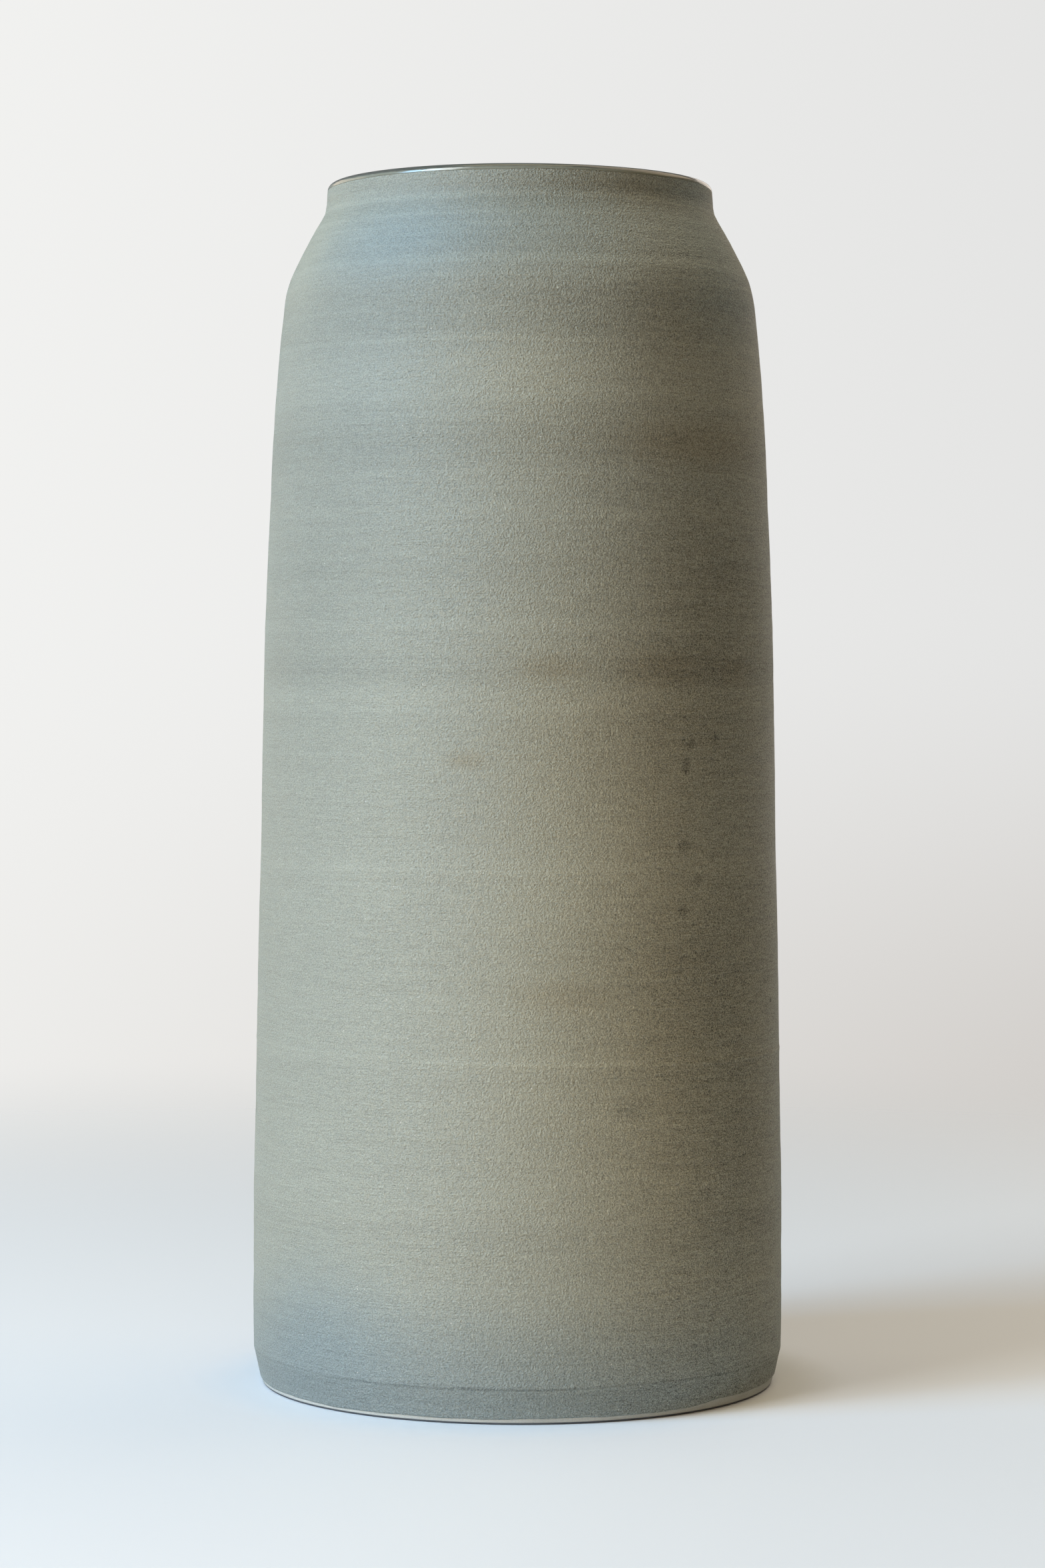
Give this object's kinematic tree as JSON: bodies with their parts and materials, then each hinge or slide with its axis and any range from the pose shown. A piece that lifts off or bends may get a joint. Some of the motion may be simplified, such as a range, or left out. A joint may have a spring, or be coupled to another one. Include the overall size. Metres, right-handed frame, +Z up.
{
  "type": "stoneware vase",
  "caption": "Tall round-shouldered stoneware vase with a matt slip coat, a short upright collar, a glazed lip and lining, and a bare trimmed foot.",
  "frame": {"origin": "centre of the foot's contact circle, on the surface the vase stands on", "axes": "+Z up along the vase's axis of revolution; the vase is the same all round, so +X and +Y are free"},
  "size_m": [0.2, 0.2, 0.45],
  "materials": {
    "clay_body": "matte",
    "luting_slip": "matte",
    "matt_slip": "matte",
    "liner_glaze": "gloss"
  },
  "bodies": {
    "root": {"base_section": "clay_body", "belly_section": "clay_body", "shoulder_section": "clay_body", "neck_collar": "clay_body", "lower_seam_slip": "luting_slip", "shoulder_seam_slip": "luting_slip", "collar_seam_slip": "luting_slip", "outer_slip_coat": "matt_slip", "liner_glaze": "liner_glaze"}
  },
  "joints": []
}
